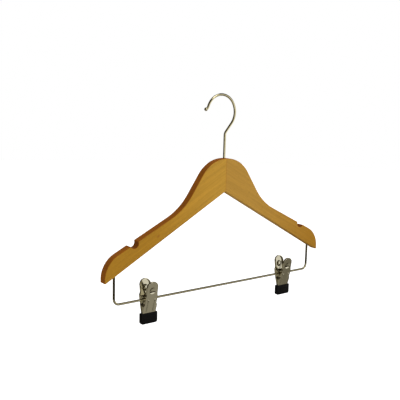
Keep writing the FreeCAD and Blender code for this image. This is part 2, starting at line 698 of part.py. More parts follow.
def press_marks(body, label):
    """The thumb dimple pressed through the handle and the two stiffening beads above the jaw."""
    xy_plane = plane_of(body, "XY_Plane")
    dimple_radius = "(((sizes.dimple_diameter / 2) ^ 2 + sizes.dimple_depth ^ 2) / (2 * sizes.dimple_depth))"
    dimple_height = "(sizes.handle_rise - sizes.dimple_drop)"
    inner_face = f"(sizes.pivot_spread + {dimple_height} * {HANDLE_SLOPE})"
    standoff = f"({dimple_radius} - sizes.dimple_depth)"
    lean = f"atan({HANDLE_SLOPE})"

    # The bump on the inner face is the cap of a sphere whose pole points inwards, square to the handle.
    bump = body.newObject("PartDesign::AdditiveSphere", label + "_bump")
    bump.AttachmentSupport = [(plane_of(body, "XZ_Plane"), "")]
    bump.MapMode = "FlatFace"
    bump.setExpression("Radius", dimple_radius)
    bump.setExpression("Angle1", f"asin({standoff} / {dimple_radius})")
    bump.setExpression(".AttachmentOffset.Base.y", f"{dimple_height} - {standoff} * sin({lean})")
    bump.setExpression(".AttachmentOffset.Base.z", f"-{inner_face} - {standoff} * cos({lean})")
    bump.AttachmentOffset.Rotation = FreeCAD.Rotation(FreeCAD.Vector(-1, 0, 0), number(lean))
    bump.setExpression(".AttachmentOffset.Rotation.Angle", lean)
    doc.recompute()

    before = body.Shape.Volume
    dimple = body.newObject("PartDesign::SubtractiveSphere", label + "_dimple")
    dimple.AttachmentSupport = [(xy_plane, "")]
    dimple.MapMode = "FlatFace"
    dimple.setExpression("Radius", dimple_radius)
    outer_face = f"({inner_face} + sizes.clip_sheet)"
    dimple.setExpression(".AttachmentOffset.Base.y", f"{outer_face} + {standoff} * cos({lean})")
    dimple.setExpression(".AttachmentOffset.Base.z", f"{dimple_height} - {standoff} * sin({lean})")
    doc.recompute()
    if not body.Shape.Volume < before:
        raise RuntimeError(f"{label}: the dimple cut nothing")

    # Each bead is a round rod let into the sheet's outer face, along the cheek's slope, with a round head.
    bead_radius = "(((sizes.bead_width / 2) ^ 2 + sizes.bead_height ^ 2) / (2 * sizes.bead_height))"
    sunk = f"({bead_radius} - sizes.bead_height)"
    head_sunk = "(sizes.bead_head_radius - sizes.bead_head_rise)"
    slope = f"atan({CHEEK_SLOPE})"
    length = f"({JAW_BEND_DROP} - sizes.bead_top_drop - sizes.bead_end_gap) / cos({slope})"
    face = f"(sizes.pivot_spread + sizes.clip_sheet - sizes.bead_top_drop * {CHEEK_SLOPE})"
    for side in ("-", ""):
        bead = body.newObject("PartDesign::AdditiveCylinder", label + "_bead")
        bead.AttachmentSupport = [(xy_plane, "")]
        bead.MapMode = "FlatFace"
        bead.setExpression("Radius", bead_radius)
        bead.setExpression("Height", length)
        bead.setExpression(".AttachmentOffset.Base.x", side + "sizes.bead_place")
        bead.setExpression(".AttachmentOffset.Base.y", f"{face} - {sunk} * cos({slope})")
        bead.setExpression(".AttachmentOffset.Base.z", f"-sizes.bead_top_drop + {sunk} * sin({slope})")
        bead.AttachmentOffset.Rotation = FreeCAD.Rotation(FreeCAD.Vector(1, 0, 0), 180)
        bead.setExpression(".AttachmentOffset.Rotation.Angle", f"180 deg - {slope}")
        head = body.newObject("PartDesign::AdditiveSphere", label + "_bead_head")
        head.AttachmentSupport = [(xy_plane, "")]
        head.MapMode = "FlatFace"
        head.setExpression("Radius", "sizes.bead_head_radius")
        head.setExpression(".AttachmentOffset.Base.x", side + "sizes.bead_place")
        head.setExpression(".AttachmentOffset.Base.y", f"{face} - {head_sunk} * cos({slope})")
        head.setExpression(".AttachmentOffset.Base.z", f"-sizes.bead_top_drop + {head_sunk} * sin({slope})")
        doc.recompute()


def jaw_pad(label):
    """A soft cap over the end of a jaw: closed below, open above."""
    body = new_body(label)
    outline = sketch_on(body, "XZ_Plane", label + "_outline", "-sizes.body_gap / 2")
    top = "-sizes.jaw_reach + sizes.pad_height"
    add_chain(outline, [
        ("-" + PAD_HALF, "-sizes.jaw_reach", "sizes.pad_corner"),
        (PAD_HALF, "-sizes.jaw_reach", "sizes.pad_corner"),
        (PAD_HALF, top, "sizes.pad_corner"),
        ("-" + PAD_HALF, top, "sizes.pad_corner"),
    ])
    thickness = "2 * sizes.pad_wall + sizes.clip_sheet"
    block = body.newObject("PartDesign::Pad", label + "_block")
    block.Profile = outline
    block.Reversed = True
    block.setExpression("Length", thickness)
    doc.recompute()
    outer_face = number(f"sizes.body_gap / 2 + {thickness}")

    def on_the_outer_face(edge):
        box = edge.BoundBox
        return math.isclose(box.YMin, outer_face, abs_tol=NEAR)

    add_fillet(body, block, label + "_edge", "sizes.pad_edge", on_the_outer_face)
    cavity = sketch_on(body, "XY_Plane", label + "_cavity", top)
    inner_wall = JAW_INSET + " - sizes.glue_gap"
    outer_wall = JAW_INSET + " + sizes.clip_sheet + sizes.glue_gap"
    add_chain(cavity, [
        ("-" + JAW_CAVITY, inner_wall, None),
        (JAW_CAVITY, inner_wall, None),
        (JAW_CAVITY, outer_wall, None),
        ("-" + JAW_CAVITY, outer_wall, None),
    ])
    depth = "sizes.pad_height - sizes.pad_end_wall + sizes.glue_gap"
    add_cut(body, cavity, label + "_cavity_cut", length=depth)
    return body


def sleeve(label):
    """The hollow rivet that runs on the bar and holds the levers between its two flanges."""
    body = new_body(label)
    bore = "sizes.bar_wire / 2 + sizes.fit_gap"
    flange = EAR_BORE + " + sizes.flange_proud"
    waist = f"({REAR_EAR} + sizes.clip_sheet + sizes.body_gap)"
    end = f"({waist} + sizes.flange_thickness)"
    profile = sketch_on(body, "XY_Plane", label + "_profile")
    add_chain(profile, [
        ("-" + end, bore, None),
        (end, bore, None),
        (end, flange, None),
        (waist, flange, None),
        (waist, SLEEVE_RADIUS, None),
        ("-" + waist, SLEEVE_RADIUS, None),
        ("-" + waist, flange, None),
        ("-" + end, flange, None),
    ])
    turned = body.newObject("PartDesign::Revolution", label + "_turned")
    turned.Profile = profile
    turned.ReferenceAxis = (profile, ["H_Axis"])
    doc.recompute()
    return body


def biarc(start, start_way, end, end_way):
    """Two tangent arcs from one point and direction to another, each as an edge."""
    span = end - start
    ways = start_way + end_way
    fold = 2 * (1 - start_way.dot(end_way))
    along = span.dot(ways)
    reach = (math.sqrt(along ** 2 + fold * span.dot(span)) - along) / fold
    meet = (start + start_way * reach + end - end_way * reach) * 0.5
    return [arc_from(start, start_way, meet), arc_from(end, end_way * -1, meet)]


def arc_from(start, way, end):
    """The arc that leaves a point in a direction and ends at another point, as an edge."""
    chord = end - start
    turn = way.getAngle(chord)
    outwards = (way - chord * (way.dot(chord) / chord.dot(chord))).normalize()
    middle = start + chord * 0.5 + outwards * (chord.Length / 2 * math.tan(turn / 2))
    return Part.Arc(start, middle, end).toShape()


def least_gap(wire, diameter):
    """Least clear distance between parts of a wound wire that are not neighbours along it."""
    step_share = 0.25
    points = wire.discretize(Distance=diameter * step_share)
    skip = int(math.pi / step_share)
    gap = min(
        points[i].distanceToPoint(points[j])
        for i in range(len(points))
        for j in range(i + skip, len(points))
    )
    return gap - diameter


def spring(label):
    """A torsion spring: two legs that push the handles apart, and turns wound round the sleeve."""
    wire_diameter = number("sizes.spring_wire")
    radius = number(SLEEVE_RADIUS + " + sizes.spring_play + sizes.spring_wire / 2")
    rise = number("sizes.leg_rise")
    handle_face = number(f"sizes.pivot_spread + sizes.leg_rise * {HANDLE_SLOPE}")
    leg_out = handle_face - number("sizes.body_gap + sizes.spring_wire / 2")
    leg_reach = math.hypot(leg_out, rise)
    leg_run = math.sqrt(leg_reach ** 2 - radius ** 2)
    # Angles run from the front through the bottom to the rear, as the turns are wound.
    first = math.acos(radius / leg_reach) - math.atan2(rise, leg_out)
    winding = math.pi - 2 * first + 2 * math.pi * number("sizes.spring_turns")
    pitch = wire_diameter + number("sizes.turn_gap")
    half_length = pitch * winding / (4 * math.pi)
    climb = pitch / (2 * math.pi)

    def point(angle):
        across = climb * (angle - first) - half_length
        return FreeCAD.Vector(across, -radius * math.cos(angle), -radius * math.sin(angle))

    def way(angle):
        return FreeCAD.Vector(climb, radius * math.sin(angle), -radius * math.cos(angle)).normalize()

    steps = math.ceil(winding / (math.pi / 2))
    angles = [first + winding * i / steps for i in range(steps + 1)]
    last = angles[-1]
    leg_start = point(first) - way(first) * leg_run
    leg_end = point(last) + way(last) * leg_run
    edges = [Part.LineSegment(leg_start, point(first)).toShape()]
    for here, there in zip(angles, angles[1:]):
        edges += biarc(point(here), way(here), point(there), way(there))
    edges.append(Part.LineSegment(point(last), leg_end).toShape())
    path = Part.Wire(Part.__sortEdges__(edges))
    section = Part.Wire(Part.makeCircle(wire_diameter / 2, leg_start, way(first)))
    shell = Part.BRepOffsetAPI.MakePipeShell(path)
    shell.add(section)
    shell.build()
    shell.makeSolid()
    wound = doc.addObject("Part::Feature", label)
    wound.Label = label
    wound.Shape = shell.shape()
    expected = math.pi * wire_diameter ** 2 / 4 * path.Length
    print(f"{label}: volume {wound.Shape.Volume:.2f}, section times length {expected:.2f},"
          f" least gap {least_gap(path, wire_diameter):.2f} mm")
    return wound


LEFT_CLIP = "-(" + BAR_LEG + " - sizes.left_clip_inset)"
RIGHT_CLIP = "(" + BAR_LEG + " - sizes.right_clip_inset)"
for side, across in (("left", LEFT_CLIP), ("right", RIGHT_CLIP)):
    on_bar = {"across": across, "up": "-sizes.bar_drop"}
    place(lever(f"{side}_clip_rear_lever", REAR_EAR), **on_bar)
    place(lever(f"{side}_clip_front_lever", FRONT_EAR), **on_bar, turned=True)
    place(jaw_pad(f"{side}_clip_rear_pad"), **on_bar)
    place(jaw_pad(f"{side}_clip_front_pad"), **on_bar, turned=True)
    place(sleeve(f"{side}_clip_sleeve"), **on_bar)
    place(spring(f"{side}_clip_spring"), **on_bar)
doc.recompute()

# Nothing is written unless every object and every piece is sound.
faulty = [item.Name for item in doc.Objects if "Invalid" in item.State or "Error" in item.State]
pieces = [item for item in doc.Objects if item.TypeId in ("PartDesign::Body", "Part::Feature")]
pieces = [item for item in pieces if item.getParentGeoFeatureGroup() is None]
unsound = [item.Label for item in pieces if item.Shape.isNull() or not item.Shape.isValid()]
if faulty or unsound:
    raise RuntimeError(f"faulty objects {faulty}, unsound pieces {unsound}")
os.makedirs("parts", exist_ok=True)
for piece in pieces:
    piece.Shape.exportStep(os.path.join("parts", piece.Label + ".step"))
    print(piece.Label, len(piece.Shape.Solids), round(piece.Shape.Volume, 1))
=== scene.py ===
import math
import bpy
from mathutils import Matrix, Vector


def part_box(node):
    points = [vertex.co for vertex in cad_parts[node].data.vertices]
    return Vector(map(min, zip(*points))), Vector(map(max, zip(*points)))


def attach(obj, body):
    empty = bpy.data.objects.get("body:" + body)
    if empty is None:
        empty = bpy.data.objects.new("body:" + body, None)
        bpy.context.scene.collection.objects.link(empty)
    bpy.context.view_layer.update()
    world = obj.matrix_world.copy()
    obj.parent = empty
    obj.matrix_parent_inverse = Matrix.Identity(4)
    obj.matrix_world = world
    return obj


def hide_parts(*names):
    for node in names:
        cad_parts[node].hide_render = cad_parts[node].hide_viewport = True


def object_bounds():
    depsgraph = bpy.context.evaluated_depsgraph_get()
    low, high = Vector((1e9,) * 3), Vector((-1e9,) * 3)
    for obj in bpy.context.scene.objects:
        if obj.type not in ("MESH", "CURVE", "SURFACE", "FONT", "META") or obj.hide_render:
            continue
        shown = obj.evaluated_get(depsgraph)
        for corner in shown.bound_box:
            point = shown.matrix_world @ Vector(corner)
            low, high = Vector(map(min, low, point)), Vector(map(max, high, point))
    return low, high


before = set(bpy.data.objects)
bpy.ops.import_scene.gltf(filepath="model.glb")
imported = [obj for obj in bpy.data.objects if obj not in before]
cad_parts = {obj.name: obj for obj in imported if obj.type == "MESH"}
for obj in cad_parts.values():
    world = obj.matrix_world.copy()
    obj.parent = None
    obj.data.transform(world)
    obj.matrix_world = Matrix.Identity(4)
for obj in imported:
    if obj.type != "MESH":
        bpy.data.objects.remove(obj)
cad_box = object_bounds()
bpy.context.scene.view_settings.view_transform = "Standard"


# Shoulder halves: two boards of honey-stained beech, sawn so that the grain follows the underside of
# each arm, moulded round the upper edges and glued at a mitre under the hook. A satin lacquer lies over
# them, and the moulded edges, which drank more of the stain, are a deeper brown than the rest, with painted
# shade added.
mm = 0.001


def linear(hex_colour):
    """A colour written as sRGB hex, as the linear values that a shader takes."""
    parts = [int(hex_colour[i:i + 2], 16) / 255 for i in (1, 3, 5)]
    return [p / 12.92 if p <= 0.04045 else ((p + 0.055) / 1.055) ** 2.4 for p in parts] + [1.0]


def add_node(tree, kind, settings=None, inputs=None):
    """One node with its settings, and its inputs given as values or as other nodes' sockets."""
    node = tree.nodes.new(kind)
    for name, value in (settings or {}).items():
        setattr(node, name, value)
    for name, value in (inputs or {}).items():
        if isinstance(value, bpy.types.NodeSocket):
            tree.links.new(value, node.inputs[name])
        else:
            node.inputs[name].default_value = value
    return node


def new_material(name):
    """A new material, with its tree, its shader and the place of a point on the piece."""
    material = bpy.data.materials.new(name)
    material.use_nodes = True
    tree = material.node_tree
    shader = tree.nodes["Principled BSDF"]
    place = add_node(tree, "ShaderNodeTexCoord").outputs["Object"]
    return material, tree, shader, place


def give(piece, material):
    """Make a material the piece's only one."""
    piece.data.materials.clear()
    piece.data.materials.append(material)


left_low, left_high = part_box("left_shoulder")
right_low, right_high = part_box("right_shoulder")
mitre_x = right_low.x
board_half = left_high.y
arm_length = right_high.x - mitre_x
grain_slope = math.radians(29.1)
underside_drop = 46.4 * mm * math.cos(grain_slope)


def lacquered_beech(name, slope, head, tip, fade, figure, notch_place, knot_place):
    """Stained beech under satin lacquer: soft streaks and short flecks along the arm, deeper edges that
    carry painted shade.
    """
    material, tree, shader, place = new_material(name)
    # The grain's own axes start at the top of the mitre, with X along the arm.
    grain = add_node(tree, "ShaderNodeMapping", {"vector_type": "TEXTURE"}, {
        "Vector": place,
        "Location": (mitre_x, 0, left_high.z),
        "Rotation": (0, slope, 0),
    }).outputs["Vector"]

    # Growth rings show as streaks a few millimetres wide and a hand long, stronger on one board.
    ring_size = (150 * mm, 20 * mm, 2.8 * mm)
    ring_place = add_node(tree, "ShaderNodeVectorMath", {"operation": "DIVIDE"}, {0: grain, 1: ring_size})
    rings = add_node(tree, "ShaderNodeTexNoise", inputs={
        "Vector": ring_place.outputs[0], "Scale": 1.0, "Detail": 4.0, "Roughness": 0.55, "Distortion": 0.3,
    }).outputs["Fac"]
    # Fibres, drawn ten times as coarse as they are so that they show.
    fibre_size = (42 * mm, 4 * mm, 1.3 * mm)
    fibre_place = add_node(tree, "ShaderNodeVectorMath", {"operation": "DIVIDE"}, {0: grain, 1: fibre_size})
    fibres = add_node(tree, "ShaderNodeTexNoise", inputs={
        "Vector": fibre_place.outputs[0], "Scale": 1.0, "Detail": 3.0, "Roughness": 0.6,
    }).outputs["Fac"]
    # The short dark flecks of beech, drawn twice as long as they are.
    fleck_size = (5.0 * mm, 1.2 * mm, 0.8 * mm)
    fleck_place = add_node(tree, "ShaderNodeVectorMath", {"operation": "DIVIDE"}, {0: grain, 1: fleck_size})
    fleck_field = add_node(tree, "ShaderNodeTexNoise", inputs={
        "Vector": fleck_place.outputs[0], "Scale": 1.0, "Detail": 0.0,
    }).outputs["Fac"]
    flecks = add_node(tree, "ShaderNodeMapRange", inputs={
        "Value": fleck_field, "From Min": 0.64, "From Max": 0.74, "To Min": 1.0, "To Max": 0.86,
    }).outputs["Result"]

    # The colour is a little lighter at the head than at the tips, and fades between two shares of the arm.
    along = add_node(tree, "ShaderNodeSeparateXYZ", inputs={"Vector": place}).outputs
    from_mitre = add_node(tree, "ShaderNodeMath", {"operation": "SUBTRACT"}, {0: along["X"], 1: mitre_x})
    reach = add_node(tree, "ShaderNodeMath", {"operation": "ABSOLUTE"}, {
        0: from_mitre.outputs[0],
    }).outputs[0]
    drift = add_node(tree, "ShaderNodeMapRange", inputs={
        "Value": reach, "From Min": fade[0] * arm_length, "From Max": fade[1] * arm_length,
    }).outputs["Result"]
    stain = add_node(tree, "ShaderNodeMix", {"data_type": "RGBA"}, {
        0: drift, 6: linear(head), 7: linear(tip),
    }).outputs[2]
    ring_tone = add_node(tree, "ShaderNodeMapRange", inputs={
        "Value": rings, "From Min": 0.3, "From Max": 0.7, "To Min": 1 - figure, "To Max": 1 + figure,
    }).outputs["Result"]
    fibre_tone = add_node(tree, "ShaderNodeMapRange", inputs={
        "Value": fibres, "From Min": 0.3, "From Max": 0.7, "To Min": 0.92, "To Max": 1.08,
    }).outputs["Result"]
    tone = add_node(tree, "ShaderNodeMath", {"operation": "MULTIPLY"}, {0: ring_tone, 1: fibre_tone})
    tone = add_node(tree, "ShaderNodeMath", {"operation": "MULTIPLY"}, {0: tone.outputs[0], 1: flecks})
    face = add_node(tree, "ShaderNodeVectorMath", {"operation": "SCALE"}, {
        0: stain, "Scale": tone.outputs[0],
    }).outputs[0]

    # A small tight knot, with its faint reddish heart, where one board has it.
    if knot_place:
        knot_size = (3.4 * mm, 30 * mm, 2.2 * mm)
        knot_heart = linear("#7E4418")
        knot = add_node(tree, "ShaderNodeMapping", {"vector_type": "TEXTURE"}, {
            "Vector": place, "Location": knot_place, "Rotation": (0, slope, 0), "Scale": knot_size,
        }).outputs["Vector"]
        knot_reach = add_node(tree, "ShaderNodeVectorMath", {"operation": "LENGTH"}, {0: knot})
        heart = add_node(tree, "ShaderNodeMapRange", {"interpolation_type": "SMOOTHSTEP"}, {
            "Value": knot_reach.outputs["Value"], "From Min": 0.25, "From Max": 1.0,
            "To Min": 0.45, "To Max": 0.0,
        }).outputs["Result"]
        face = add_node(tree, "ShaderNodeMix", {"data_type": "RGBA"}, {
            0: heart, 6: face, 7: knot_heart,
        }).outputs[2]

    # The glue line shows as a thin brown thread down the mitre.
    thread_core = 0.1 * mm
    thread_fade = 0.7 * mm
    glue_brown = linear("#96591A")
    thread = add_node(tree, "ShaderNodeMapRange", inputs={
        "Value": reach, "From Min": thread_core, "From Max": thread_fade, "To Min": 0.5, "To Max": 0.0,
    }).outputs["Result"]
    face = add_node(tree, "ShaderNodeMix", {"data_type": "RGBA"}, {
        0: thread, 6: face, 7: glue_brown,
    }).outputs[2]

    # The moulded edge begins just past the flat of the face, with a crisp line. Its colour is a deeper
    # stain darkened further by painted shade. The underside has none.
    edge_start = board_half - 0.08 * mm
    edge_full = board_half - 0.4 * mm
    underside_bare = 0.8 * mm - underside_drop
    underside_past = 1.8 * mm - underside_drop
    # The edge colour: a deeper stain with painted shade laid over it.
    edge_stain_and_shade = linear("#9E5A0C")[:3]
    depth = add_node(tree, "ShaderNodeMath", {"operation": "ABSOLUTE"}, {0: along["Y"]}).outputs[0]
    past_face = add_node(tree, "ShaderNodeMapRange", {"interpolation_type": "SMOOTHSTEP"}, {
        "Value": depth, "From Min": edge_full, "From Max": edge_start, "To Min": 1.0, "To Max": 0.0,
    }).outputs["Result"]
    rise = add_node(tree, "ShaderNodeSeparateXYZ", inputs={"Vector": grain}).outputs["Z"]
    above_underside = add_node(tree, "ShaderNodeMapRange", inputs={
        "Value": rise, "From Min": underside_bare, "From Max": underside_past,
    }).outputs["Result"]
    moulded = add_node(tree, "ShaderNodeMath", {"operation": "MULTIPLY"}, {
        0: past_face, 1: above_underside,
    }).outputs[0]
    # In the strap notch the colour is darker still.
    notch_size = (8 * mm, 100 * mm, 8 * mm)
    notch = add_node(tree, "ShaderNodeMapping", {"vector_type": "TEXTURE"}, {
        "Vector": place, "Location": notch_place, "Scale": notch_size,
    }).outputs["Vector"]
    notch_reach = add_node(tree, "ShaderNodeVectorMath", {"operation": "LENGTH"}, {0: notch})
    notch_darkening = add_node(tree, "ShaderNodeMapRange", inputs={
        "Value": notch_reach.outputs["Value"], "From Min": 0.75, "From Max": 1.0,
        "To Min": 0.72, "To Max": 1.0,
    }).outputs["Result"]
    edge_tone = add_node(tree, "ShaderNodeMath", {"operation": "MULTIPLY"}, {
        0: tone.outputs[0], 1: notch_darkening,
    })
    edge = add_node(tree, "ShaderNodeVectorMath", {"operation": "SCALE"}, {
        0: edge_stain_and_shade, "Scale": edge_tone.outputs[0],
    }).outputs[0]
    colour = add_node(tree, "ShaderNodeMix", {"data_type": "RGBA"}, {
        0: moulded, 6: face, 7: edge,
    }).outputs[2]
    tree.links.new(colour, shader.inputs["Base Color"])

    # Lacquer fills the wood: the fibres only just telegraph through it. It lies thin and dull on the edges.
    fibre_relief = 0.06 * mm
    lacquer = add_node(tree, "ShaderNodeMapRange", inputs={
        "Value": fibres, "To Min": 0.36, "To Max": 0.48,
    }).outputs["Result"]
    lacquer = add_node(tree, "ShaderNodeMapRange", inputs={
        "Value": past_face, "To Min": lacquer, "To Max": 0.75,
    }).outputs["Result"]
    tree.links.new(lacquer, shader.inputs["Roughness"])
    relief = add_node(tree, "ShaderNodeBump", inputs={
        "Strength": 0.25, "Distance": fibre_relief, "Height": fibres,
    }).outputs["Normal"]
    tree.links.new(relief, shader.inputs["Normal"])
    shader.inputs["IOR"].default_value = 1.5
    shader.inputs["Specular IOR Level"].default_value = 0.1
    return material


left_notch = (-140.1 * mm, 0, -192.4 * mm)
right_notch = (158.5 * mm, 0, -194.4 * mm)
knot_spot = (mitre_x - 111.35 * mm, -board_half, -184.06 * mm)
left_wood = lacquered_beech("lacquered_beech_left", -grain_slope, "#B38731", "#A47620", (0.1, 0.6),
                            0.11, left_notch, knot_spot)
right_wood = lacquered_beech("lacquered_beech_right", grain_slope, "#AB8135", "#986A17", (0.3, 1.0),
                             0.06, right_notch, None)
give(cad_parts["left_shoulder"], left_wood)
give(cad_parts["right_shoulder"], right_wood)


# Hook, washer and bar: drawn steel wire and a stamped ring, bright nickel plated. The hook turns in the
# head under its washer, and the bar's ends are glued into the undersides of the boards.
def nickel_plate(name, colour, haze, grain_size):
    """Bright nickel over worked steel: a warm mirror, hazed along the way the steel was worked."""
    material, tree, shader, place = new_material(name)
    shader.inputs["Metallic"].default_value = 1.0
    # Plating clouds over in soft patches about as wide as a fingertip.
    cloud_size = 11 * mm
    clouds = add_node(tree, "ShaderNodeTexNoise", inputs={
        "Vector": place, "Scale": 1 / cloud_size, "Detail": 3.0, "Roughness": 0.6,
    }).outputs["Fac"]
    dull, bright = colour
    plate = add_node(tree, "ShaderNodeMix", {"data_type": "RGBA"}, {
        0: clouds, 6: linear(dull), 7: linear(bright),
    }).outputs[2]
    tree.links.new(plate, shader.inputs["Base Color"])
    # Draw and roll marks, several times coarser than they are so that they show.
    mark_relief = 0.01 * mm
    mark_place = add_node(tree, "ShaderNodeVectorMath", {"operation": "DIVIDE"}, {0: place, 1: grain_size})
    marks = add_node(tree, "ShaderNodeTexNoise", inputs={
        "Vector": mark_place.outputs[0], "Scale": 1.0, "Detail": 2.0,
    }).outputs["Fac"]
    clear, hazy = haze
    gloss = add_node(tree, "ShaderNodeMapRange", inputs={
        "Value": marks, "From Min": 0.3, "From Max": 0.7, "To Min": clear, "To Max": hazy,
    }).outputs["Result"]
    tree.links.new(gloss, shader.inputs["Roughness"])
    relief = add_node(tree, "ShaderNodeBump", inputs={
        "Strength": 0.2, "Distance": mark_relief, "Height": marks,
    }).outputs["Normal"]
    tree.links.new(relief, shader.inputs["Normal"])
    return material


wire_finish = nickel_plate("nickel_plated_wire", ("#C3B993", "#D0C6A2"), (0.09, 0.16),
                           (2.5 * mm, 0.5 * mm, 2.5 * mm))
for node in ("hook", "hook_washer", "clip_bar"):
    give(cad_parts[node], wire_finish)


# Clip levers and sleeves: the levers are pressed from thin steel sheet, with their edges turned in, a
# dimple for the thumb and two stiffening beads. A hollow rivet on the bar is the pivot of each pair.
sheet_finish = nickel_plate("nickel_plated_sheet", ("#C4BDA3", "#D0CAB3"), (0.06, 0.13),
                            (0.5 * mm, 0.5 * mm, 9 * mm))
sides = ("left", "right")
for side in sides:
    for part in ("rear_lever", "front_lever", "sleeve"):
        give(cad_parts[f"{side}_clip_{part}"], sheet_finish)


# Clip springs: torsion springs of drawn steel wire, wound round the sleeve, with a straight leg behind
# each handle. The front leg turns with the front lever, so it is a piece of its own that runs inside
# the last part of the first turn.
def clip_axis(side):
    """The middle of a clip's sleeve, on the bar's axis."""
    low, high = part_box(f"{side}_clip_sleeve")
    return (low + high) / 2


spring_wire = 1.1 * mm
coil_radius = 3.16 * mm
turn_pitch = 1.6 * mm
spring_turns = 4
wire_sides = 12
steps_per_turn = 24
least_steps = 6
leg_rise = 16.0 * mm
leg_out = 8.665 * mm
leg_reach = math.hypot(leg_out, leg_rise)
leg_run = math.sqrt(leg_reach ** 2 - coil_radius ** 2)
first_angle = math.acos(coil_radius / leg_reach) - math.atan2(leg_rise, leg_out)
winding = math.pi - 2 * first_angle + 2 * math.pi * spring_turns
climb = turn_pitch / (2 * math.pi)


def coil_point(angle):
    """A point of the coil's middle line, from the clip's axis. Angles run front, bottom, rear."""
    across = climb * (angle - first_angle - winding / 2)
    return Vector((across, -coil_radius * math.cos(angle), -coil_radius * math.sin(angle)))


def coil_way(angle):
    """The direction in which the wire runs at that point."""
    way = Vector((climb, coil_radius * math.sin(angle), -coil_radius * math.cos(angle)))
    return way.normalized()


def select_near(piece, centre, reach):
    """In edit mode, select the points of a mesh that lie near a place, and no others."""
    bpy.ops.mesh.select_mode(type="VERT")
    bpy.ops.mesh.select_all(action="DESELECT")
    bpy.ops.object.mode_set(mode="OBJECT")
    for vertex in piece.data.vertices:
        vertex.select = (vertex.co - centre).length < reach
    bpy.ops.object.mode_set(mode="EDIT")


def wind(name, start, turn, thickness, legs):
    """Wind a round wire from an angle through a turn, and draw straight legs out of the ends asked for."""
    bpy.ops.object.select_all(action="DESELECT")
    bpy.ops.mesh.primitive_circle_add(vertices=wire_sides, radius=thickness / 2, location=coil_point(start))
    wire = bpy.context.object
    wire.name = name
    wire.rotation_mode = "QUATERNION"
    wire.rotation_quaternion = Vector((0, 0, 1)).rotation_difference(coil_way(start))
    bpy.ops.object.transform_apply(location=True, rotation=True, scale=True)
    turns = wire.modifiers.new("turns", "SCREW")
    turns.axis = "X"
    turns.angle = turn
    turns.screw_offset = climb * turn
    turns.steps = max(least_steps, round(steps_per_turn * turn / (2 * math.pi)))
    turns.render_steps = turns.steps
    bpy.ops.object.modifier_apply(modifier="turns")
    bpy.ops.object.mode_set(mode="EDIT")
    for angle, outwards, with_leg in ((start, -1, legs[0]), (start + turn, 1, legs[1])):
        select_near(wire, coil_point(angle), 0.6 * thickness)
        if with_leg:
            run = coil_way(angle) * leg_run * outwards
            bpy.ops.mesh.extrude_region_move(TRANSFORM_OT_translate={"value": run})
        bpy.ops.mesh.edge_face_add()
    bpy.ops.mesh.select_all(action="SELECT")
    bpy.ops.mesh.normals_make_consistent(inside=False)
    bpy.ops.object.mode_set(mode="OBJECT")
    bpy.ops.object.shade_smooth_by_angle(angle=math.radians(40))
    return wire


def stand_at(piece, place):
    """Move a piece modelled at the origin to its place, and keep the place in its mesh."""
    bpy.ops.object.select_all(action="DESELECT")
    piece.select_set(True)
    bpy.context.view_layer.objects.active = piece
    piece.location = place
    bpy.ops.object.transform_apply(location=True, rotation=True, scale=True)


def spring_steel():
    """Oil-hardened spring wire: grey steel with a straw tint, drawn smooth."""
    material, tree, shader, place = new_material("spring_steel")
    shader.inputs["Metallic"].default_value = 1.0
    tint_size = 6 * mm
    tint = add_node(tree, "ShaderNodeTexNoise", inputs={
        "Vector": place, "Scale": 1 / tint_size, "Detail": 2.0,
    }).outputs["Fac"]
    steel = add_node(tree, "ShaderNodeMix", {"data_type": "RGBA"}, {
        0: tint, 6: linear("#8C8574"), 7: linear("#A39F94"),
    }).outputs[2]
    tree.links.new(steel, shader.inputs["Base Color"])
    gloss = add_node(tree, "ShaderNodeMapRange", inputs={
        "Value": tint, "To Min": 0.22, "To Max": 0.38,
    }).outputs["Result"]
    tree.links.new(gloss, shader.inputs["Roughness"])
    return material


spring_finish = spring_steel()
inner_turn = math.radians(50)
inner_play = 0.04 * mm
for side in sides:
    spring = wind(f"{side}_clip_wound_spring", first_angle, winding, spring_wire, (False, True))
    leg = wind(f"{side}_clip_spring_front_leg", first_angle, inner_turn, spring_wire - inner_play,
               (True, False))
    for piece, body in ((spring, f"{side}_clip_rear"), (leg, f"{side}_clip_front")):
        stand_at(piece, clip_axis(side))
        give(piece, spring_finish)
        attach(piece, body)
    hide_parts(f"{side}_clip_spring")


# Jaw caps: soft black vinyl, dip moulded to the shape of the jaw's end and pushed on. Their corners are
# round, the outer face is a little pillowed, and the mouth has a thin rolled lip.
def select_faces(piece, chosen):
    """In edit mode, select the faces that a test picks by their centre and normal, and no others."""
    bpy.ops.mesh.select_mode(type="FACE")
    bpy.ops.mesh.select_all(action="DESELECT")
    bpy.ops.object.mode_set(mode="OBJECT")
    for face in piece.data.polygons:
        face.select = chosen(face.center, face.normal)
    bpy.ops.object.mode_set(mode="EDIT")


def select_edges(piece, chosen):
    """In edit mode, select the edges that a test picks by their two ends, and no others."""
    bpy.ops.mesh.select_mode(type="EDGE")
    bpy.ops.mesh.select_all(action="DESELECT")
    bpy.ops.object.mode_set(mode="OBJECT")
    points = piece.data.vertices
    for edge in piece.data.edges:
        first, second = (points[i].co for i in edge.vertices)
        edge.select = chosen(first, second)
    bpy.ops.object.mode_set(mode="EDIT")


